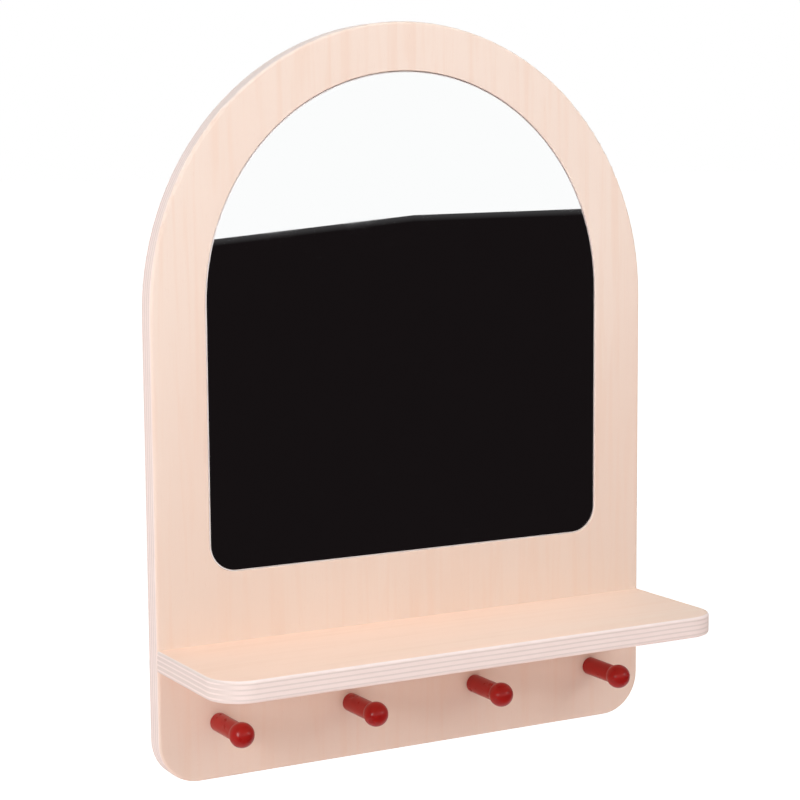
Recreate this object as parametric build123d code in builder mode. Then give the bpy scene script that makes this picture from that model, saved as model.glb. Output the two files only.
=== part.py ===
from build123d import *
from math import sqrt
import os

# Wall mirror: an arched plywood panel with a mirror let into its front, a shelf and four pegs.
# Millimetres. X runs to the right as seen from the front, Y towards the wall and Z up.
# The origin is on the wall plane, midway between the keyholes that the mirror hangs by,
# at the height of the panel's arch centre. Left and right are as seen from the front.

# Panel
panel_width = 420
panel_height = 550
panel_thickness = 16
panel_corner_radius = 32
front_round = 2.5  # rounding of the front edge, taken round the whole outline
back_chamfer = 0.8  # broken edge on the wall side

# Mirror, held by tape in a pocket in the panel's front
side_border = 42.5  # panel left beside the pocket
top_border = 36  # panel left above the pocket
lower_border = 51.5  # panel left between the pocket and the shelf
pocket_corner_radius = 21
pocket_rim_chamfer = 0.4
mirror_thickness = 3
mirror_gap = 0.4  # between the mirror's edge and the pocket's wall, all round
mirror_drop = 0.3  # how far the mirror has settled in the pocket, closing the gap below it
mirror_recess = 0.7  # from the panel's face down to the mirror's face
mirror_edge_chamfer = 0.8  # ground bevel that shows as a pale line
tape_thickness = 1
tape_width = 25
tape_count = 4
tape_margin = 18  # from the pocket's wall to the ends of a strip

# Shelf
shelf_depth = 111
shelf_thickness = 16
shelf_rise = 101  # from the panel's lower edge up to the shelf's top
shelf_corner_radius = 26
shelf_round = 2

# Pegs, turned in one piece: a straight shank that flares into a ball
peg_count = 4
peg_margin = 47  # from the panel's sides to the outer pegs
peg_rise = 42.5  # from the panel's lower edge up to the pegs
peg_shank_diameter = 14
peg_ball_diameter = 18.5
peg_reach = 40  # from the panel's face to the centre of the ball
peg_neck_radius = 5  # hollow curve between shank and ball
peg_foot_chamfer = 0.6

# Dowels between panel and shelf
dowel_diameter = 8
dowel_length = 30
dowel_in_panel = 10
dowel_margin = 120  # from the shelf's ends
dowel_chamfer = 1
dowel_clearance = 0.1
dowel_end_gap = 0.5

# Countersunk wood screws through the panel
screw_diameter = 4
screw_head_diameter = 8
screw_head_sink = 0.5  # below the back of the panel
screw_point = 5  # length of the pointed end
screw_clearance = 0.2  # round the shank and under the head
screw_tip_gap = 1  # from the point to the end of its hole
shelf_screw_length = 50
shelf_screw_count = 3
shelf_screw_margin = 40  # from the shelf's ends to the outer screws
peg_screw_length = 40

# Keyhole plates in the back of the panel
plate_length = 50
plate_width = 20
plate_thickness = 2
plate_lift = 4  # from the keyhole's mouth up to the middle of the plate
plate_sink = 0.2  # below the back of the panel
plate_gap = 0.3  # round the plate
keyhole_mouth_diameter = 10
keyhole_slot_width = 5
keyhole_rise = 10  # from the mouth up to the end of the slot
head_pocket_width = 13  # room behind the plate for the wall screw's head
head_pocket_depth = 4.5
plate_screw_spacing = 38
plate_screw_diameter = 3.5
plate_screw_head_diameter = 7
plate_screw_length = 10
plate_screw_point = 3

# Cross recess in every screw's head, for one size of driver
recess_reach = 4
recess_width = 1.1
recess_depth = 1.2
recess_taper = 10  # degrees

# Places that follow from the sizes above
panel_bottom = panel_width / 2 - panel_height
shelf_top = panel_bottom + shelf_rise
shelf_middle = shelf_top - shelf_thickness / 2
shelf_screw_spacing = (panel_width - 2 * shelf_screw_margin) / (shelf_screw_count - 1)
dowel_spacing = panel_width - 2 * dowel_margin
peg_z = panel_bottom + peg_rise
peg_spacing = (panel_width - 2 * peg_margin) / (peg_count - 1)
pocket_width = panel_width - 2 * side_border
pocket_bottom = shelf_top + lower_border
pocket_arch_z = panel_width / 2 - top_border - pocket_width / 2
pocket_depth = mirror_recess + mirror_thickness + tape_thickness
pocket_floor = panel_thickness - pocket_depth  # distance from the wall
mirror_back = pocket_floor + tape_thickness
tape_spacing = pocket_width / tape_count
hanger_x = panel_width / 2 - side_border / 2
plate_pocket_depth = plate_sink + plate_thickness
hole_radius = screw_diameter / 2 + screw_clearance
head_seat_radius = screw_head_diameter / 2 + screw_clearance
plate_hole_radius = plate_screw_diameter / 2 + screw_clearance
plate_seat_radius = plate_screw_head_diameter / 2 + screw_clearance
peg_bore_depth = screw_head_sink + peg_screw_length + screw_tip_gap - panel_thickness
dowel_hole_radius = dowel_diameter / 2 + dowel_clearance

# How a round piece lies on its place: above it or below it
STANDING = (Align.CENTER, Align.CENTER, Align.MIN)
HANGING = (Align.CENTER, Align.CENTER, Align.MAX)


def arched_outline(width, arch_z, bottom, corner_radius):
    """A half-round top on straight sides, with rounded lower corners."""
    with BuildSketch() as outline:
        with Locations((0, arch_z)):
            Circle(width / 2)
            Rectangle(width, arch_z - bottom, align=(Align.CENTER, Align.MAX))
        fillet(outline.vertices().group_by(Axis.Y)[0], corner_radius)
    return outline.sketch


def keyhole_outline(mouth_diameter, slot_width):
    """A round mouth with a slot that rises from it."""
    with BuildSketch() as keyhole:
        Circle(mouth_diameter / 2)
        Rectangle(slot_width, keyhole_rise, align=(Align.CENTER, Align.MIN))
        with Locations((0, keyhole_rise)):
            Circle(slot_width / 2)
    return keyhole.sketch


def plate_outline(extra):
    """The keyhole plate's outline with round ends, larger all round by extra."""
    with BuildSketch() as plate:
        with Locations((0, plate_lift)):
            SlotOverall(plate_length + 2 * extra, plate_width + 2 * extra, rotation=90)
    return plate.sketch


def facing_wall(x, distance, z):
    """A place at this distance from the wall plane, with its own Z towards the wall."""
    return Location(Plane((x, -distance, z), x_dir=(1, 0, 0), z_dir=(0, 1, 0)))


def facing_room(x, distance, z):
    """A place at this distance from the wall plane, with its own Z towards the room."""
    return Location(Plane((x, -distance, z), x_dir=(1, 0, 0), z_dir=(0, -1, 0)))


def row(count, spacing):
    """Distances from the middle of a row of evenly spaced places."""
    return [(i - (count - 1) / 2) * spacing for i in range(count)]


def countersunk_screw(diameter, head_diameter, length, point):
    """A wood screw that points down, with the flat of its head at height zero."""
    shank_r, head_r = diameter / 2, head_diameter / 2
    with BuildPart() as screw:
        with BuildSketch(Plane.XZ) as profile:
            with BuildLine():
                Polyline(
                    (0, 0),
                    (head_r, 0),
                    (shank_r, shank_r - head_r),
                    (shank_r, point - length),
                    (0, -length),
                    close=True,
                )
            make_face()
        revolve(axis=Axis.Z)
        with BuildSketch():
            Rectangle(recess_reach, recess_width)
            Rectangle(recess_width, recess_reach)
        extrude(amount=-recess_depth, taper=recess_taper, mode=Mode.SUBTRACT)
    return screw.part


def turned_peg():
    """A peg that stands up on its foot: straight shank, hollow neck and ball, bored for its screw."""
    with BuildPart() as peg:
        with BuildSketch(Plane.XZ) as profile:
            Rectangle(peg_shank_diameter, peg_reach, align=(Align.CENTER, Align.MIN))
            with Locations((0, peg_reach)):
                Circle(peg_ball_diameter / 2)
            fillet(profile.vertices().group_by(Axis.Y)[1], peg_neck_radius)
            chamfer(profile.vertices().group_by(Axis.Y)[0], peg_foot_chamfer)
            split(bisect_by=Plane.YZ)
        revolve(axis=Axis.Z)
        Cylinder(hole_radius, peg_bore_depth, align=STANDING, mode=Mode.SUBTRACT)
    return peg.part


def write(piece, name):
    """Labels a finished piece and writes it to its own file."""
    piece.part.label = name
    export_step(piece.part, f"parts/{name}.step")


os.makedirs("parts", exist_ok=True)

peg_xs = row(peg_count, peg_spacing)
shelf_screw_xs = row(shelf_screw_count, shelf_screw_spacing)
dowel_xs = row(2, dowel_spacing)
peg_screw_places = [facing_wall(x, screw_head_sink, peg_z) for x in peg_xs]
shelf_screw_places = [facing_wall(x, screw_head_sink, shelf_middle) for x in shelf_screw_xs]
plate_screw_zs = [plate_lift + z for z in row(2, plate_screw_spacing)]
plate_screw_places = [
    facing_wall(x, plate_sink, z) for x in (-hanger_x, hanger_x) for z in plate_screw_zs
]

# Arched panel
with BuildPart() as arched_panel:
    with BuildSketch(Plane.XZ):
        add(arched_outline(panel_width, 0, panel_bottom, panel_corner_radius))
    extrude(amount=panel_thickness)
    fillet(arched_panel.faces().sort_by(Axis.Y)[0].edges(), front_round)
    chamfer(arched_panel.faces().sort_by(Axis.Y)[-1].edges(), back_chamfer)

    # pocket for the mirror
    with BuildSketch(Plane.XZ.offset(pocket_floor)):
        add(arched_outline(pocket_width, pocket_arch_z, pocket_bottom, pocket_corner_radius))
    extrude(amount=pocket_depth, mode=Mode.SUBTRACT)
    pocket_rim = arched_panel.faces().sort_by(Axis.Y)[0].inner_wires()[0].edges()
    chamfer(pocket_rim, pocket_rim_chamfer)

    # seats for the keyhole plates, with room behind them for the wall screws' heads
    for x in (-hanger_x, hanger_x):
        with BuildSketch(Plane.XZ):
            with Locations((x, 0)):
                add(plate_outline(plate_gap))
        extrude(amount=plate_pocket_depth, mode=Mode.SUBTRACT)
        with BuildSketch(Plane.XZ.offset(plate_pocket_depth)):
            with Locations((x, 0)):
                add(keyhole_outline(head_pocket_width, head_pocket_width))
        extrude(amount=head_pocket_depth, mode=Mode.SUBTRACT)
    with Locations(*plate_screw_places):
        Hole(plate_hole_radius, plate_screw_length + screw_tip_gap)

    # holes for the pegs, the shelf's screws and its dowels
    with Locations(*peg_screw_places, *shelf_screw_places):
        CounterSinkHole(hole_radius, head_seat_radius, counter_sink_angle=90)
    with Locations(*[facing_room(x, panel_thickness, shelf_middle) for x in dowel_xs]):
        Hole(dowel_hole_radius, dowel_in_panel + dowel_end_gap)
write(arched_panel, "arched_panel")

# Mirror sheet
with BuildPart() as mirror_sheet:
    with BuildSketch(Plane.XZ.offset(mirror_back)):
        with Locations((0, -mirror_drop)):
            add(arched_outline(pocket_width, pocket_arch_z, pocket_bottom, pocket_corner_radius))
        offset(amount=-mirror_gap)
    extrude(amount=mirror_thickness)
    chamfer(mirror_sheet.faces().sort_by(Axis.Y)[0].edges(), mirror_edge_chamfer)
write(mirror_sheet, "mirror_sheet")

# Strips of mounting tape between the mirror and the pocket's floor
for number, x in enumerate(row(tape_count, tape_spacing), start=1):
    outer_x = abs(x) + tape_width / 2
    strip_top = pocket_arch_z + sqrt((pocket_width / 2) ** 2 - outer_x**2) - tape_margin
    strip_bottom = pocket_bottom + tape_margin
    with BuildPart() as mirror_tape:
        with BuildSketch(Plane.XZ.offset(pocket_floor)):
            with Locations((x, strip_bottom)):
                Rectangle(
                    tape_width, strip_top - strip_bottom, align=(Align.CENTER, Align.MIN)
                )
        extrude(amount=tape_thickness)
    write(mirror_tape, f"mirror_tape_{number}")

# Shelf, its back edge against the panel's face
with BuildPart() as shelf:
    with BuildSketch(Plane.XY.offset(shelf_top)) as shelf_outline:
        with Locations((0, -panel_thickness)):
            Rectangle(panel_width, shelf_depth, align=(Align.CENTER, Align.MAX))
        fillet(shelf_outline.vertices().group_by(Axis.Y)[0], shelf_corner_radius)
    extrude(amount=-shelf_thickness)
    top_edges = shelf.faces().sort_by(Axis.Z)[-1].edges().sort_by(Axis.Y)[:-1]
    bottom_edges = shelf.faces().sort_by(Axis.Z)[0].edges().sort_by(Axis.Y)[:-1]
    fillet(top_edges + bottom_edges, shelf_round)
    with Locations(*shelf_screw_places):
        Hole(hole_radius, shelf_screw_length + screw_tip_gap)
    with Locations(*[facing_wall(x, panel_thickness, shelf_middle) for x in dowel_xs]):
        Hole(dowel_hole_radius, dowel_length - dowel_in_panel + dowel_end_gap)
write(shelf, "shelf")

# Dowels that place the shelf
for side, x in zip(("left", "right"), dowel_xs):
    with BuildPart() as shelf_dowel:
        with Locations(facing_wall(x, panel_thickness - dowel_in_panel, shelf_middle)):
            Cylinder(dowel_diameter / 2, dowel_length, align=HANGING)
        chamfer(shelf_dowel.edges().filter_by(GeomType.CIRCLE), dowel_chamfer)
    write(shelf_dowel, f"shelf_dowel_{side}")

# Screws through the panel into the shelf
with BuildPart() as shelf_screws:
    with Locations(*shelf_screw_places):
        add(countersunk_screw(screw_diameter, screw_head_diameter, shelf_screw_length, screw_point))
write(shelf_screws, "shelf_screws")

# Pegs, each with its foot on the panel's face
for number, x in enumerate(peg_xs, start=1):
    with BuildPart() as peg:
        with Locations(facing_room(x, panel_thickness, peg_z)):
            add(turned_peg())
    write(peg, f"peg_{number}")

# Screws through the panel into the pegs
with BuildPart() as peg_screws:
    with Locations(*peg_screw_places):
        add(countersunk_screw(screw_diameter, screw_head_diameter, peg_screw_length, screw_point))
write(peg_screws, "peg_screws")

# Keyhole plates, let in flush at the back
for side, x in (("left", -hanger_x), ("right", hanger_x)):
    with BuildPart() as hanger_plate:
        with BuildSketch(Plane.XZ.offset(plate_sink)):
            with Locations((x, 0)):
                add(plate_outline(0))
                add(keyhole_outline(keyhole_mouth_diameter, keyhole_slot_width), mode=Mode.SUBTRACT)
        extrude(amount=plate_thickness)
        with Locations(*[facing_wall(x, plate_sink, z) for z in plate_screw_zs]):
            CounterSinkHole(plate_hole_radius, plate_seat_radius, counter_sink_angle=90)
    write(hanger_plate, f"hanger_plate_{side}")

# Screws that hold the keyhole plates
with BuildPart() as hanger_screws:
    with Locations(*plate_screw_places):
        add(
            countersunk_screw(
                plate_screw_diameter,
                plate_screw_head_diameter,
                plate_screw_length,
                plate_screw_point,
            )
        )
write(hanger_screws, "hanger_screws")
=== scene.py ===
import math

import bpy
from bpy.props import FloatProperty, FloatVectorProperty, IntProperty, PointerProperty
from mathutils import Matrix, Vector


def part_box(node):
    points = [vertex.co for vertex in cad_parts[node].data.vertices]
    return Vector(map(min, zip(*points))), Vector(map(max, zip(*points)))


# Metres, in the frame of the solids: X to the right, Y into the wall, Z up.
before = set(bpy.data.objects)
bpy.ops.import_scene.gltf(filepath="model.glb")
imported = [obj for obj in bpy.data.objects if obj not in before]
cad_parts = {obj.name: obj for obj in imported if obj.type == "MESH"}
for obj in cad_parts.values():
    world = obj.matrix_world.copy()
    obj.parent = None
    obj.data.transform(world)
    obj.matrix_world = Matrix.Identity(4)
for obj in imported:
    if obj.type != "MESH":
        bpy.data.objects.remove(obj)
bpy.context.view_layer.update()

bl_info = {
    "name": "Arched wall mirror",
    "version": (1, 0, 0),
    "blender": (4, 5, 0),
    "location": "View3D > Sidebar > Wall mirror",
    "description": "Finishes, studio and camera for an arched plywood wall mirror with a shelf and pegs",
    "category": "Object",
}

MM = 0.001

# Where the camera stands, from a fit to the mirror's outlines
CAMERA_PLACE = Vector((-760.4, -1364.5, 112.95)) * MM
CAMERA_TURN = math.radians(29.101)  # to the right of square on to the panel
CAMERA_TILT = math.radians(-6.799)
CAMERA_ROLL = math.radians(-0.414)
CAMERA_LENS = 93.03  # millimetres on a sensor 36 mm wide
CAMERA_SENSOR = 36.0

# The softboxes: from the object to the light, how far it hangs, and its width and height
LIGHT_AIM = Vector((0, -0.03, -0.07))
MAIN_LIGHT = {"direction": (0.56, -0.72, 0.41), "distance": 1.9, "size": (0.8, 1.0)}
SIDE_LIGHT = {"direction": (-0.882, -0.430, 0.191), "distance": 1.7, "size": (0.5, 0.9)}
TOP_LIGHT = {"direction": (0.1, -0.22, 0.97), "distance": 1.8, "size": (1.0, 0.7)}

FLOOR_SIZE = 160
FLOOR_GLOW = 0.75  # what the paper gives off by itself towards the camera

# The room that glossy surfaces reflect, dim in front of the wall and paler behind it: the Y part of
# the direction where that level is reached, and the level
ROOM_FRONT = (-0.2, 0.12)
ROOM_BACK = (0.3, 0.45)

# What the mirror reflects: sheets that glow with fixed colours and that only reflections see, a painted
# reflection. The dark cloth's upper edge is given as places across and heights: it rises to a corner,
# then runs almost level, as the photograph's mirror shows it.
CLOTH_EDGE = [(-4.0, -0.516), (1.694, -0.034), (6.0, 0.018)]
# the paler strip along the dark cloth's edge is a painted soft edge of the reflection
CLOTH_PAINTED_EDGE = 0.016  # height of the paler strip along that edge
CLOTH_FAR = -3.0
CLOTH_NEAR = -0.35
CLOTH_LIFT = 0.01  # above the floor
WHITE_CARD_PLACE = (1.0, -3.1, 1.0)
WHITE_CARD_SIZE = (12, 4)

# How the veneer of each board lies: over which span of the fibre axis, in metres, its tone changes, which
# is painted light and shade (the panel paler towards the top and warmer towards the bottom, the shelf
# paler towards its left end), and between which cosines of the slope the veneer takes the place of the
# plies on a rounded edge
PANEL_SHADE_SPAN = (-0.2, 0.15)
PANEL_ROUNDING = (0.3, 0.8)
SHELF_SHADE_SPAN = (-0.1, 0.3)
SHELF_ROUNDING = (0.88, 0.985)


def linear(hex_colour):
    """An sRGB hex colour as linear red, green and blue."""
    channels = [int(hex_colour[i : i + 2], 16) / 255 for i in (1, 3, 5)]
    return tuple(c / 12.92 if c <= 0.04045 else ((c + 0.055) / 1.055) ** 2.4 for c in channels)


def add_node(tree, kind, inputs=(), **settings):
    """Adds a node with its settings, and fills its inputs with values or with links from other nodes."""
    made = tree.nodes.new(kind)
    for name, value in settings.items():
        setattr(made, name, value)
    for name, value in dict(inputs).items():
        if isinstance(value, bpy.types.NodeSocket):
            tree.links.new(value, made.inputs[name])
        elif isinstance(value, (tuple, list, Vector)) and made.inputs[name].type == "RGBA":
            made.inputs[name].default_value = (*value[:3], 1)
        else:
            made.inputs[name].default_value = value
    return made


def new_material(name):
    """An empty material with the name of a real substance."""
    material = bpy.data.materials.new(name)
    material.use_nodes = True
    material.node_tree.nodes.clear()
    return material


def finish_nodes(nodes, material):
    """Puts one material on every slot of these frame nodes."""
    for name in nodes:
        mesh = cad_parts[name].data
        mesh.materials.clear()
        mesh.materials.append(material)


def show_only_in_reflections(card):
    """Hides a piece of the stage from everything but reflections."""
    card.visible_camera = False
    card.visible_diffuse = False
    card.visible_transmission = False
    card.visible_volume_scatter = False
    card.visible_shadow = False


# Looks that a user would change


class PlywoodLook(bpy.types.PropertyGroup):
    """Colours and grain of the plywood."""

    # On the panel the face goes from face_warm at the bottom to face_pale at the top, and on the shelf
    # from face_level at its left end to face_warm: painted light and shade
    face_pale: FloatVectorProperty(
        name="Face, pale",
        description="Palest tone of the face veneer",
        subtype="COLOR",
        default=linear("#F1E1D4"),
    )
    face_warm: FloatVectorProperty(
        name="Face, warm",
        description="Warmest tone of the face veneer",
        subtype="COLOR",
        default=linear("#EBD6C7"),
    )
    face_level: FloatVectorProperty(
        name="Face, shelf",
        description="Tone of the shelf's veneer",
        subtype="COLOR",
        default=linear("#F5D6C3"),
    )
    face_streak: FloatVectorProperty(
        name="Streaks",
        description="Tone of the long streaks in the veneer",
        subtype="COLOR",
        default=linear("#E8C6AF"),
    )
    pore_colour: FloatVectorProperty(
        name="Pores", description="Tone of the open pores", subtype="COLOR", default=linear("#C99F84")
    )
    edge_pale: FloatVectorProperty(
        name="Edge, pale plies",
        description="Plies with their fibres along the edge",
        subtype="COLOR",
        default=linear("#F5E7E2"),
    )
    edge_ends: FloatVectorProperty(
        name="Edge, end grain",
        description="Plies whose fibres end in the edge",
        subtype="COLOR",
        default=linear("#E3D6D0"),
    )
    glue_colour: FloatVectorProperty(
        name="Glue lines",
        description="Thin lines of glue between the plies",
        subtype="COLOR",
        default=linear("#B99F92"),
    )
    ply_count: IntProperty(
        name="Plies", description="Number of plies in the board", default=9, min=3, max=15
    )
    streak_strength: FloatProperty(
        name="Streak strength",
        description="How far the streaks leave the veneer's tone",
        subtype="FACTOR",
        default=0.24,
        min=0,
        max=1,
    )
    drift_width: FloatProperty(
        name="Drift width", description="Width of the slow change of tone, in millimetres", default=90
    )
    streak_width: FloatProperty(
        name="Streak width", description="Width of a streak, in millimetres", default=8
    )
    streak_length: FloatProperty(
        name="Streak length", description="Length of a streak, in millimetres", default=140
    )
    fibre_width: FloatProperty(
        name="Fibre width", description="Width of the fine fibres, in millimetres", default=0.9
    )
    fibre_length: FloatProperty(
        name="Fibre length", description="Length of the fine fibres, in millimetres", default=30
    )
    relief: FloatProperty(
        name="Relief", description="Height of the fibres under the lacquer, in millimetres", default=0.05
    )
    roughness: FloatProperty(
        name="Roughness",
        description="Roughness of the lacquer",
        subtype="FACTOR",
        default=0.6,
        min=0,
        max=1,
    )


class PaintLook(bpy.types.PropertyGroup):
    """Colour and gloss of the painted pegs."""

    colour: FloatVectorProperty(
        name="Paint", description="Colour of the paint", subtype="COLOR", default=linear("#9A1411")
    )
    colour_thin: FloatVectorProperty(
        name="Thin paint",
        description="Tone where the coat is thinner",
        subtype="COLOR",
        default=linear("#A01813"),
    )
    roughness: FloatProperty(
        name="Roughness",
        description="Roughness of the paint",
        subtype="FACTOR",
        default=0.3,
        min=0,
        max=1,
    )
    gloss: FloatProperty(
        name="Gloss coat",
        description="Weight of the clear gloss on top",
        subtype="FACTOR",
        default=0.3,
        min=0,
        max=1,
    )
    cloud: FloatProperty(
        name="Cloud width",
        description="Width of the patches where the coat is thinner, in millimetres",
        default=9,
    )


class GlassLook(bpy.types.PropertyGroup):
    """The mirror's silver and its ground edge."""

    silver: FloatVectorProperty(
        name="Silver", description="Colour of the reflection", subtype="COLOR", default=linear("#FBFCFC")
    )
    edge: FloatVectorProperty(
        name="Ground edge",
        description="Colour of the ground glass edge",
        subtype="COLOR",
        default=linear("#FFFFFF"),
    )
    waviness: FloatProperty(
        name="Waviness", description="Depth of the slow waves in the sheet, in millimetres", default=0.004
    )
    haze: FloatProperty(
        name="Haze", description="Roughness left by wiping", subtype="FACTOR", default=0.02, min=0, max=1
    )


class StudioLook(bpy.types.PropertyGroup):
    """Floor, light and surroundings."""

    floor_drop: FloatProperty(
        name="Floor drop", description="From the origin down to the floor", unit="LENGTH", default=0.95
    )
    main_power: FloatProperty(
        name="Main light",
        description="Power of the softbox at the front right",
        unit="POWER",
        default=7.5,
    )
    side_power: FloatProperty(
        name="Side light", description="Power of the small softbox at the left", unit="POWER", default=13
    )
    top_power: FloatProperty(
        name="Top light", description="Power of the softbox overhead", unit="POWER", default=10.5
    )
    ambient: FloatProperty(
        name="Ambient light", description="Strength of the even light from all round", default=0.44, min=0
    )
    bounce: FloatProperty(
        name="Bounce",
        description="Strength of the warm light thrown back from below",
        default=0.25,
        min=0,
    )


LOOKS = {
    "mirror_plywood": PlywoodLook,
    "mirror_paint": PaintLook,
    "mirror_glass": GlassLook,
    "mirror_studio": StudioLook,
}


# Materials


def birch_plywood(name, look, across, fibre, front, thickness, tones, shade_span, rounding):
    """Sanded birch plywood under a clear lacquer.

    The face is a pale veneer with faint long streaks. At the edges the plies show, pale where
    their fibres run along the edge and greyer where they end in it.
    across is the axis through the plies and fibre the one that the face's fibres follow.
    front is where the first ply starts on the axis through the plies.
    The veneer's tone changes from the first of the tones to the second over the span given for the fibre
    axis; that change is painted light and shade.
    Between the two cosines of rounding the veneer takes the place of the plies on a rounded edge.
    """
    material = new_material(name)
    tree = material.node_tree
    place = add_node(tree, "ShaderNodeTexCoord")
    axes = "XYZ"
    cross = next(a for a in axes if a not in (across, fibre))
    position = add_node(tree, "ShaderNodeSeparateXYZ", {0: place.outputs["Object"]})
    normal = add_node(tree, "ShaderNodeSeparateXYZ", {0: place.outputs["Normal"]})

    def stretched(width, length, along, detail=2.0, roughness=0.5, distortion=0.0):
        """Noise with grains of this width and length, in millimetres, along one axis."""
        scale = [1 / (length * MM) if a == along else 1 / (width * MM) for a in axes]
        mapped = add_node(tree, "ShaderNodeMapping", {"Vector": place.outputs["Object"], "Scale": scale})
        noise = add_node(
            tree,
            "ShaderNodeTexNoise",
            {
                "Vector": mapped.outputs[0],
                "Scale": 1.0,
                "Detail": detail,
                "Roughness": roughness,
                "Distortion": distortion,
            },
        )
        return noise.outputs["Fac"]

    def math_node(operation, *values, clamp=False):
        inputs = dict(enumerate(values))
        return add_node(tree, "ShaderNodeMath", inputs, operation=operation, use_clamp=clamp).outputs[0]

    def ramp(value, low, high, out_low=0.0, out_high=1.0):
        return add_node(
            tree,
            "ShaderNodeMapRange",
            {"Value": value, "From Min": low, "From Max": high, "To Min": out_low, "To Max": out_high},
            interpolation_type="SMOOTHSTEP",
        ).outputs[0]

    def mix(factor, a, b):
        return add_node(tree, "ShaderNodeMix", {0: factor, 6: a, 7: b}, data_type="RGBA").outputs[2]

    # the face veneer
    drift = stretched(look.drift_width, look.streak_length * 3, fibre, detail=1.0)
    streaks = stretched(look.streak_width, look.streak_length, fibre, detail=2.0, distortion=0.6)
    fibres = stretched(look.fibre_width, look.fibre_length, fibre, detail=2.0, roughness=0.6)
    pores = stretched(look.fibre_width * 0.6, look.fibre_length * 0.2, fibre, detail=1.0)
    # painted light and shade: the tone follows the place on the board, paler where more light falls, with
    # a random drift on top
    tone = ramp(position.outputs[axes.index(fibre)], *shade_span)
    tone = math_node("ADD", tone, ramp(drift, 0.3, 0.7, -0.25, 0.25), clamp=True)
    face = mix(tone, *tones)
    face = mix(ramp(streaks, 0.42, 0.75, 0.0, look.streak_strength), face, tuple(look.face_streak))
    face = mix(ramp(fibres, 0.45, 0.8, 0.0, look.streak_strength * 0.35), face, tuple(look.face_streak))
    face = mix(ramp(pores, 0.70, 0.80, 0.0, 0.12), face, tuple(look.pore_colour))

    # the plies, counted from the front face, each turned a quarter from the one before
    waver = stretched(25, 60, fibre, detail=1.0)
    depth = math_node("SUBTRACT", position.outputs[axes.index(across)], front)
    depth = math_node("MULTIPLY", depth, look.ply_count / thickness)
    depth = math_node("ADD", depth, ramp(waver, 0.3, 0.7, -0.06, 0.06))
    turned = math_node("COSINE", math_node("MULTIPLY", math_node("SUBTRACT", depth, 0.5), math.pi))
    turned = ramp(turned, -0.25, -0.8)
    glue = math_node("ABSOLUTE", math_node("SUBTRACT", math_node("FRACT", depth), 0.5))
    glue = ramp(glue, 0.44, 0.49)
    ends_straight = math_node("ABSOLUTE", normal.outputs[axes.index(fibre)])
    ends_turned = math_node("ABSOLUTE", normal.outputs[axes.index(cross)])
    ends = add_node(tree, "ShaderNodeMix", {0: turned, 2: ends_straight, 3: ends_turned}).outputs[0]
    ends = ramp(ends, 0.35, 0.9)
    specks_straight = stretched(0.45, 12, fibre, detail=2.0, roughness=0.6)
    specks_turned = stretched(0.45, 12, cross, detail=2.0, roughness=0.6)
    specks = add_node(tree, "ShaderNodeMix", {0: turned, 2: specks_straight, 3: specks_turned}).outputs[0]
    edge = mix(ends, tuple(look.edge_pale), tuple(look.edge_ends))
    edge = mix(ramp(specks, 0.5, 0.75, 0.0, 0.12), edge, tuple(look.pore_colour))
    edge = mix(math_node("MULTIPLY", glue, 0.10), edge, tuple(look.glue_colour))

    # face or edge, by the way the surface is turned
    facing = math_node("ABSOLUTE", normal.outputs[axes.index(across)])
    facing = ramp(facing, *rounding)
    colour = mix(facing, edge, face)

    relief = add_node(tree, "ShaderNodeMix", {0: facing, 2: specks, 3: fibres}).outputs[0]
    bump = add_node(
        tree, "ShaderNodeBump", {"Height": relief, "Strength": 0.25, "Distance": look.relief * MM}
    )
    sheen_of_lacquer = ramp(relief, 0.3, 0.7, look.roughness - 0.05, look.roughness + 0.05)
    shader = add_node(
        tree,
        "ShaderNodeBsdfPrincipled",
        {
            "Base Color": colour,
            "Roughness": sheen_of_lacquer,
            "IOR": 1.5,
            "Specular IOR Level": 0.3,
            "Normal": bump.outputs[0],
        },
    )
    add_node(tree, "ShaderNodeOutputMaterial", {"Surface": shader.outputs[0]})
    return material


def painted_beech(look):
    """Gloss red paint on turned beech: an even coat with sharp highlights and barely thinner patches."""
    material = new_material("gloss_painted_turned_beech")
    tree = material.node_tree
    place = add_node(tree, "ShaderNodeTexCoord")
    cloud = add_node(
        tree,
        "ShaderNodeTexNoise",
        {"Vector": place.outputs["Object"], "Scale": 1 / (look.cloud * MM), "Detail": 2.0},
    )
    spread = add_node(
        tree, "ShaderNodeMapRange", {"Value": cloud.outputs["Fac"], "From Min": 0.35, "From Max": 0.65}
    )
    colour = add_node(
        tree,
        "ShaderNodeMix",
        {0: spread.outputs[0], 6: tuple(look.colour), 7: tuple(look.colour_thin)},
        data_type="RGBA",
    )
    gloss = add_node(
        tree,
        "ShaderNodeMapRange",
        {
            "Value": cloud.outputs["Fac"],
            "From Min": 0.3,
            "From Max": 0.7,
            "To Min": look.roughness - 0.04,
            "To Max": look.roughness + 0.06,
        },
    )
    shader = add_node(
        tree,
        "ShaderNodeBsdfPrincipled",
        {
            "Base Color": colour.outputs[2],
            "Roughness": gloss.outputs[0],
            "IOR": 1.5,
            "Specular IOR Level": 0.12,
            "Coat Weight": look.gloss,
            "Coat Roughness": 0.08,
        },
    )
    add_node(tree, "ShaderNodeOutputMaterial", {"Surface": shader.outputs[0]})
    return material


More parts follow.
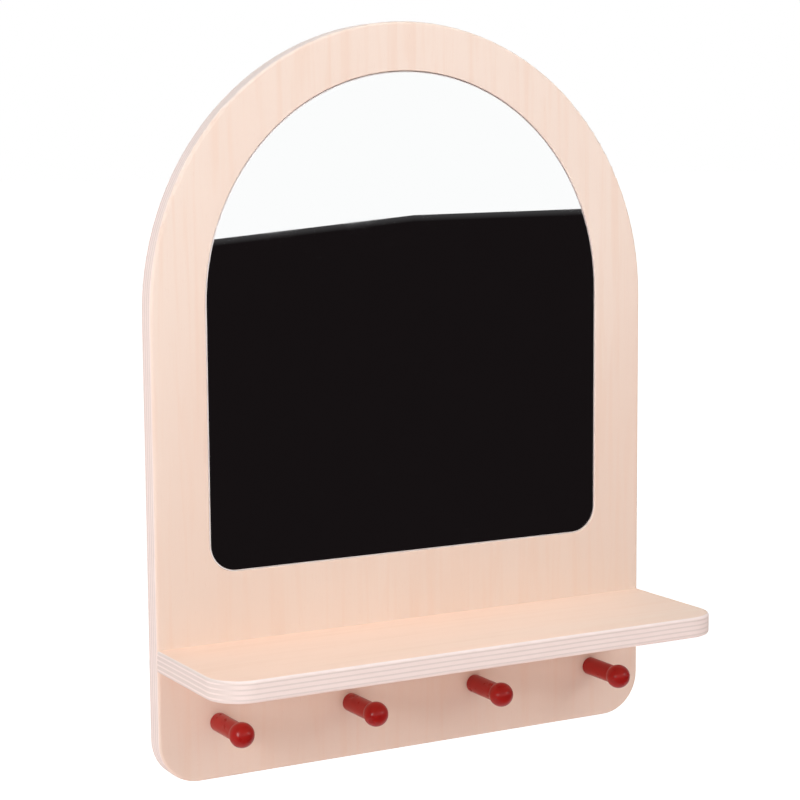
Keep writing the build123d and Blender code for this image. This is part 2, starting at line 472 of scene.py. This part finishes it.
def silvered_glass(look):
    """Float glass silvered behind: a clear reflection with very slight waves, and a pale ground edge."""
    material = new_material("silvered_float_glass")
    tree = material.node_tree
    place = add_node(tree, "ShaderNodeTexCoord")
    waves = add_node(
        tree,
        "ShaderNodeTexNoise",
        {"Vector": place.outputs["Object"], "Scale": 1 / (70 * MM), "Detail": 1.0},
    )
    wiping = add_node(
        tree,
        "ShaderNodeTexNoise",
        {"Vector": place.outputs["Object"], "Scale": 1 / (24 * MM), "Detail": 4.0},
    )
    bump = add_node(
        tree,
        "ShaderNodeBump",
        {"Height": waves.outputs["Fac"], "Strength": 1.0, "Distance": look.waviness * MM},
    )
    haze = add_node(
        tree,
        "ShaderNodeMapRange",
        {
            "Value": wiping.outputs["Fac"],
            "From Min": 0.35,
            "From Max": 0.8,
            "To Min": 0.0,
            "To Max": look.haze,
        },
    )
    silver = add_node(
        tree,
        "ShaderNodeBsdfPrincipled",
        {
            "Base Color": tuple(look.silver),
            "Metallic": 1.0,
            "Roughness": haze.outputs[0],
            "Normal": bump.outputs[0],
        },
    )
    grit = add_node(
        tree,
        "ShaderNodeTexNoise",
        {"Vector": place.outputs["Object"], "Scale": 1 / (0.3 * MM), "Detail": 2.0},
    )
    ground = add_node(
        tree,
        "ShaderNodeMix",
        {0: grit.outputs["Fac"], 6: tuple(look.edge), 7: tuple(0.95 * c for c in look.edge)},
        data_type="RGBA",
    )
    edge = add_node(
        tree, "ShaderNodeBsdfPrincipled", {"Base Color": ground.outputs[2], "Roughness": 0.5, "IOR": 1.52}
    )
    normal = add_node(tree, "ShaderNodeSeparateXYZ", {0: place.outputs["Normal"]})
    facing = add_node(tree, "ShaderNodeMath", {0: normal.outputs["Y"]}, operation="ABSOLUTE")
    flat = add_node(tree, "ShaderNodeMath", {0: facing.outputs[0], 1: 0.97}, operation="GREATER_THAN")
    shader = add_node(
        tree, "ShaderNodeMixShader", {0: flat.outputs[0], 1: edge.outputs[0], 2: silver.outputs[0]}
    )
    add_node(tree, "ShaderNodeOutputMaterial", {"Surface": shader.outputs[0]})
    return material


def zinc_plated_steel(name, roughness):
    """Pressed steel with bright zinc plating: cool grey with a faint bluish and yellowish cast."""
    material = new_material(name)
    tree = material.node_tree
    place = add_node(tree, "ShaderNodeTexCoord")
    cast = add_node(
        tree,
        "ShaderNodeTexNoise",
        {"Vector": place.outputs["Object"], "Scale": 1 / (7 * MM), "Detail": 3.0},
    )
    grain = add_node(
        tree,
        "ShaderNodeTexNoise",
        {"Vector": place.outputs["Object"], "Scale": 1 / (0.5 * MM), "Detail": 2.0},
    )
    colour = add_node(
        tree,
        "ShaderNodeMix",
        {0: cast.outputs["Fac"], 6: linear("#BFC5CC"), 7: linear("#D2CFC2")},
        data_type="RGBA",
    )
    rough = add_node(
        tree,
        "ShaderNodeMapRange",
        {
            "Value": grain.outputs["Fac"],
            "From Min": 0.3,
            "From Max": 0.7,
            "To Min": roughness - 0.07,
            "To Max": roughness + 0.09,
        },
    )
    bump = add_node(
        tree, "ShaderNodeBump", {"Height": grain.outputs["Fac"], "Strength": 0.3, "Distance": 0.02 * MM}
    )
    shader = add_node(
        tree,
        "ShaderNodeBsdfPrincipled",
        {
            "Base Color": colour.outputs[2],
            "Metallic": 1.0,
            "Roughness": rough.outputs[0],
            "Normal": bump.outputs[0],
        },
    )
    add_node(tree, "ShaderNodeOutputMaterial", {"Surface": shader.outputs[0]})
    return material


def foam_tape():
    """White closed-cell foam: matt, with small cells."""
    material = new_material("closed_cell_foam_tape")
    tree = material.node_tree
    place = add_node(tree, "ShaderNodeTexCoord")
    cells = add_node(
        tree, "ShaderNodeTexVoronoi", {"Vector": place.outputs["Object"], "Scale": 1 / (0.5 * MM)}
    )
    colour = add_node(
        tree,
        "ShaderNodeMix",
        {0: cells.outputs["Distance"], 6: linear("#F4F3EF"), 7: linear("#DAD8D2")},
        data_type="RGBA",
    )
    bump = add_node(
        tree,
        "ShaderNodeBump",
        {"Height": cells.outputs["Distance"], "Strength": 0.5, "Distance": 0.1 * MM},
    )
    shader = add_node(
        tree,
        "ShaderNodeBsdfPrincipled",
        {"Base Color": colour.outputs[2], "Roughness": 0.9, "Normal": bump.outputs[0]},
    )
    add_node(tree, "ShaderNodeOutputMaterial", {"Surface": shader.outputs[0]})
    return material


def plain_beech():
    """Turned beech without a finish: pinkish tan with short dark flecks along the grain."""
    material = new_material("plain_turned_beech")
    tree = material.node_tree
    place = add_node(tree, "ShaderNodeTexCoord")
    along_y = add_node(
        tree,
        "ShaderNodeMapping",
        {"Vector": place.outputs["Object"], "Scale": (1 / (0.6 * MM), 1 / (9 * MM), 1 / (0.6 * MM))},
    )
    flecks = add_node(
        tree, "ShaderNodeTexNoise", {"Vector": along_y.outputs[0], "Scale": 1.0, "Detail": 2.0}
    )
    spread = add_node(
        tree, "ShaderNodeMapRange", {"Value": flecks.outputs["Fac"], "From Min": 0.5, "From Max": 0.75}
    )
    colour = add_node(
        tree,
        "ShaderNodeMix",
        {0: spread.outputs[0], 6: linear("#DDB892"), 7: linear("#B98A62")},
        data_type="RGBA",
    )
    shader = add_node(
        tree, "ShaderNodeBsdfPrincipled", {"Base Color": colour.outputs[2], "Roughness": 0.65}
    )
    add_node(tree, "ShaderNodeOutputMaterial", {"Surface": shader.outputs[0]})
    return material


# Operators


class MIRROR_OT_camera(bpy.types.Operator):
    """Puts the camera at the photograph's viewpoint, with its lens and tilt"""

    bl_idname = "wall_mirror.camera"
    bl_label = "Camera"

    def execute(self, context):
        data = bpy.data.cameras.new("camera")
        data.lens = CAMERA_LENS
        data.sensor_width = CAMERA_SENSOR
        data.clip_start = 0.05
        data.clip_end = 200
        camera = bpy.data.objects.new("camera", data)
        context.scene.collection.objects.link(camera)
        turn = Matrix.Rotation(-CAMERA_TURN, 4, "Z")
        tilt = Matrix.Rotation(math.pi / 2 + CAMERA_TILT, 4, "X")
        roll = Matrix.Rotation(CAMERA_ROLL, 4, "Z")
        camera.matrix_world = Matrix.Translation(CAMERA_PLACE) @ turn @ tilt @ roll
        context.scene.camera = camera
        return {"FINISHED"}


class MIRROR_OT_stage(bpy.types.Operator):
    """Lays the floor, hangs the lights and sets up what the mirror reflects"""

    bl_idname = "wall_mirror.stage"
    bl_label = "Stage"

    def execute(self, context):
        look = context.scene.mirror_studio
        context.scene.view_settings.view_transform = "Standard"
        self.lay_floor(look)
        self.set_surroundings(context, look)
        self.hang_light("main_light", look.main_power, **MAIN_LIGHT)
        self.hang_light("side_light", look.side_power, **SIDE_LIGHT)
        self.hang_light("top_light", look.top_power, **TOP_LIGHT)
        self.hang_dark_cloth(look)
        self.stand_white_card()
        return {"FINISHED"}

    def lay_floor(self, look):
        """White paper that gives off light towards the camera, and a warm bounce towards the object."""
        bpy.ops.object.select_all(action="DESELECT")
        bpy.ops.mesh.primitive_plane_add(size=FLOOR_SIZE, location=(0, 0, -look.floor_drop))
        floor = bpy.context.object
        floor.name = "floor"
        material = new_material("white_studio_paper")
        tree = material.node_tree
        paper = add_node(tree, "ShaderNodeBsdfDiffuse", {"Color": linear("#F4F4F3")})
        glow = add_node(tree, "ShaderNodeEmission", {"Color": (1, 1, 1), "Strength": FLOOR_GLOW})
        bright = add_node(tree, "ShaderNodeAddShader", {0: paper.outputs[0], 1: glow.outputs[0]})
        rays = add_node(tree, "ShaderNodeLightPath")
        lift = add_node(
            tree,
            "ShaderNodeMath",
            {0: rays.outputs["Is Diffuse Ray"], 1: look.bounce},
            operation="MULTIPLY",
        )
        warmth = add_node(
            tree, "ShaderNodeEmission", {"Color": linear("#FFA290"), "Strength": lift.outputs[0]}
        )
        warm = add_node(tree, "ShaderNodeAddShader", {0: paper.outputs[0], 1: warmth.outputs[0]})
        shader = add_node(
            tree,
            "ShaderNodeMixShader",
            {0: rays.outputs["Is Camera Ray"], 1: warm.outputs[0], 2: bright.outputs[0]},
        )
        add_node(tree, "ShaderNodeOutputMaterial", {"Surface": shader.outputs[0]})
        floor.data.materials.append(material)

    def set_surroundings(self, context, look):
        """White for the camera, even light for the object, and a dim room for glossy reflections."""
        world = bpy.data.worlds.new("white_surroundings")
        world.use_nodes = True
        tree = world.node_tree
        tree.nodes.clear()
        even = add_node(tree, "ShaderNodeBackground", {"Color": (1, 1, 1), "Strength": look.ambient})
        white = add_node(tree, "ShaderNodeBackground", {"Color": (1, 1, 1), "Strength": 1.0})
        direction = add_node(tree, "ShaderNodeTexCoord")
        towards = add_node(tree, "ShaderNodeSeparateXYZ", {0: direction.outputs["Generated"]})
        room = add_node(
            tree,
            "ShaderNodeMapRange",
            {
                "Value": towards.outputs["Y"],
                "From Min": ROOM_FRONT[0],
                "From Max": ROOM_BACK[0],
                "To Min": ROOM_FRONT[1],
                "To Max": ROOM_BACK[1],
            },
        )
        dim = add_node(tree, "ShaderNodeBackground", {"Color": (1, 1, 1), "Strength": room.outputs[0]})
        rays = add_node(tree, "ShaderNodeLightPath")
        unseen = add_node(
            tree,
            "ShaderNodeMixShader",
            {0: rays.outputs["Is Glossy Ray"], 1: even.outputs[0], 2: dim.outputs[0]},
        )
        shader = add_node(
            tree,
            "ShaderNodeMixShader",
            {0: rays.outputs["Is Camera Ray"], 1: unseen.outputs[0], 2: white.outputs[0]},
        )
        add_node(tree, "ShaderNodeOutputWorld", {"Surface": shader.outputs[0]})
        context.scene.world = world

    def hang_light(self, name, power, direction, distance, size):
        """A softbox of this width and height in this direction from the object, turned towards it."""
        data = bpy.data.lights.new(name, "AREA")
        data.shape = "RECTANGLE"
        data.size, data.size_y = size
        data.energy = power
        lamp = bpy.data.objects.new(name, data)
        bpy.context.scene.collection.objects.link(lamp)
        away = Vector(direction).normalized()
        lamp.location = LIGHT_AIM + away * distance
        lamp.rotation_mode = "QUATERNION"
        lamp.rotation_quaternion = (-away).to_track_quat("-Z", "Y")

    def hang_dark_cloth(self, look):
        """A dark sheet in front of the mirror that glows with a fixed colour, a painted reflection for
        its lower part. Only reflections show it.

        It hangs down to the floor and runs along it towards the wall.
        """
        bpy.ops.object.select_all(action="DESELECT")
        columns = len(CLOTH_EDGE)
        bpy.ops.mesh.primitive_grid_add(x_subdivisions=columns - 1, y_subdivisions=3)
        cloth = bpy.context.object
        cloth.name = "dark_cloth"
        mesh = cloth.data
        floor = CLOTH_LIFT - look.floor_drop
        painted_edge = mesh.attributes.new("painted_edge", "FLOAT", "POINT")
        for i, vertex in enumerate(mesh.vertices):
            row, column = divmod(i, columns)
            x, top = CLOTH_EDGE[column]
            height = (top, top - CLOTH_PAINTED_EDGE, floor, floor)[row]
            vertex.co = (x, CLOTH_NEAR if row == 3 else CLOTH_FAR, height)
            painted_edge.data[i].value = 1.0 if row == 0 else 0.0
        show_only_in_reflections(cloth)
        material = new_material("painted_reflection_dark")
        tree = material.node_tree
        level = add_node(tree, "ShaderNodeAttribute", attribute_name="painted_edge")
        colour = add_node(
            tree,
            "ShaderNodeMix",
            {0: level.outputs["Fac"], 6: linear("#161213"), 7: linear("#444344")},
            data_type="RGBA",
        )
        # the sheet glows with its colour whatever light falls on it, a painted reflection; its strip
        # along the edge glows paler, a painted soft edge
        glow = add_node(tree, "ShaderNodeEmission", {"Color": colour.outputs[2], "Strength": 1.0})
        add_node(tree, "ShaderNodeOutputMaterial", {"Surface": glow.outputs[0]})
        mesh.materials.append(material)

    def stand_white_card(self):
        """A white sheet behind the dark one that glows white, a painted reflection for the mirror's upper
        part. Only reflections show it.
        """
        bpy.ops.object.select_all(action="DESELECT")
        bpy.ops.mesh.primitive_plane_add(size=1, location=WHITE_CARD_PLACE, rotation=(math.pi / 2, 0, 0))
        card = bpy.context.object
        card.name = "white_card"
        card.scale = (*WHITE_CARD_SIZE, 1)
        show_only_in_reflections(card)
        material = new_material("painted_reflection_white")
        tree = material.node_tree
        # the card glows white whatever light falls on it, a painted reflection
        glow = add_node(tree, "ShaderNodeEmission", {"Color": (1, 1, 1), "Strength": 1.0})
        add_node(tree, "ShaderNodeOutputMaterial", {"Surface": glow.outputs[0]})
        card.data.materials.append(material)


class MIRROR_OT_panel(bpy.types.Operator):
    """Finishes the arched panel in birch plywood with upright fibres"""

    bl_idname = "wall_mirror.panel"
    bl_label = "Arched panel"

    def execute(self, context):
        look = context.scene.mirror_plywood
        low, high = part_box("arched_panel")
        material = birch_plywood(
            "birch_plywood_upright",
            look,
            across="Y",
            fibre="Z",
            front=low[1],
            thickness=high[1] - low[1],
            # painted light and shade: warmer towards the bottom, paler towards the top
            tones=(tuple(look.face_warm), tuple(look.face_pale)),
            shade_span=PANEL_SHADE_SPAN,
            rounding=PANEL_ROUNDING,
        )
        finish_nodes(["arched_panel"], material)
        return {"FINISHED"}


class MIRROR_OT_shelf(bpy.types.Operator):
    """Finishes the shelf in birch plywood with fibres along its length"""

    bl_idname = "wall_mirror.shelf"
    bl_label = "Shelf"

    def execute(self, context):
        look = context.scene.mirror_plywood
        low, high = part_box("shelf")
        material = birch_plywood(
            "birch_plywood_level",
            look,
            across="Z",
            fibre="X",
            front=low[2],
            thickness=high[2] - low[2],
            # painted light: paler towards the left end, darker towards the right end
            tones=(tuple(look.face_level), tuple(look.face_warm)),
            shade_span=SHELF_SHADE_SPAN,
            rounding=SHELF_ROUNDING,
        )
        finish_nodes(["shelf"], material)
        return {"FINISHED"}


class MIRROR_OT_glass(bpy.types.Operator):
    """Finishes the mirror sheet in silvered glass"""

    bl_idname = "wall_mirror.glass"
    bl_label = "Mirror sheet"

    def execute(self, context):
        finish_nodes(["mirror_sheet"], silvered_glass(context.scene.mirror_glass))
        return {"FINISHED"}


class MIRROR_OT_pegs(bpy.types.Operator):
    """Finishes the pegs in gloss paint"""

    bl_idname = "wall_mirror.pegs"
    bl_label = "Pegs"

    def execute(self, context):
        pegs = [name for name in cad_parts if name.startswith("peg_") and name[4:].isdigit()]
        finish_nodes(pegs, painted_beech(context.scene.mirror_paint))
        return {"FINISHED"}


class MIRROR_OT_hangers(bpy.types.Operator):
    """Finishes the keyhole plates and all the screws in zinc-plated steel"""

    bl_idname = "wall_mirror.hangers"
    bl_label = "Keyhole plates and screws"

    def execute(self, context):
        plates = [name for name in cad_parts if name.startswith("hanger_plate")]
        screws = [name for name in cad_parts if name.endswith("screws")]
        finish_nodes(plates, zinc_plated_steel("zinc_plated_pressed_steel", 0.34))
        finish_nodes(screws, zinc_plated_steel("zinc_plated_turned_steel", 0.26))
        return {"FINISHED"}


class MIRROR_OT_joinery(bpy.types.Operator):
    """Finishes the hidden pieces: foam tape behind the mirror and beech dowels in the shelf"""

    bl_idname = "wall_mirror.joinery"
    bl_label = "Tape and dowels"

    def execute(self, context):
        tapes = [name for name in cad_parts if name.startswith("mirror_tape")]
        dowels = [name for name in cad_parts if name.startswith("shelf_dowel")]
        finish_nodes(tapes, foam_tape())
        finish_nodes(dowels, plain_beech())
        return {"FINISHED"}


OPERATORS = [
    MIRROR_OT_camera,
    MIRROR_OT_stage,
    MIRROR_OT_panel,
    MIRROR_OT_shelf,
    MIRROR_OT_glass,
    MIRROR_OT_pegs,
    MIRROR_OT_hangers,
    MIRROR_OT_joinery,
]


class MIRROR_PT_sidebar(bpy.types.Panel):
    """Lists the steps and the looks that can be changed"""

    bl_idname = "MIRROR_PT_sidebar"
    bl_label = "Wall mirror"
    bl_space_type = "VIEW_3D"
    bl_region_type = "UI"
    bl_category = "Wall mirror"

    def draw(self, context):
        layout = self.layout
        for operator in OPERATORS:
            layout.operator(operator.bl_idname)
        for name, group in LOOKS.items():
            box = layout.box()
            box.label(text=group.__doc__)
            for setting in group.__annotations__:
                box.prop(getattr(context.scene, name), setting)


def register():
    for group in LOOKS.values():
        bpy.utils.register_class(group)
    for name, group in LOOKS.items():
        setattr(bpy.types.Scene, name, PointerProperty(type=group))
    for operator in OPERATORS:
        bpy.utils.register_class(operator)
    bpy.utils.register_class(MIRROR_PT_sidebar)


def unregister():
    bpy.utils.unregister_class(MIRROR_PT_sidebar)
    for operator in reversed(OPERATORS):
        bpy.utils.unregister_class(operator)
    for name, group in LOOKS.items():
        delattr(bpy.types.Scene, name)
        bpy.utils.unregister_class(group)


def main():
    register()
    for operator in OPERATORS:
        group, name = operator.bl_idname.split(".")
        getattr(getattr(bpy.ops, group), name)()


if __name__ == "__main__":
    main()
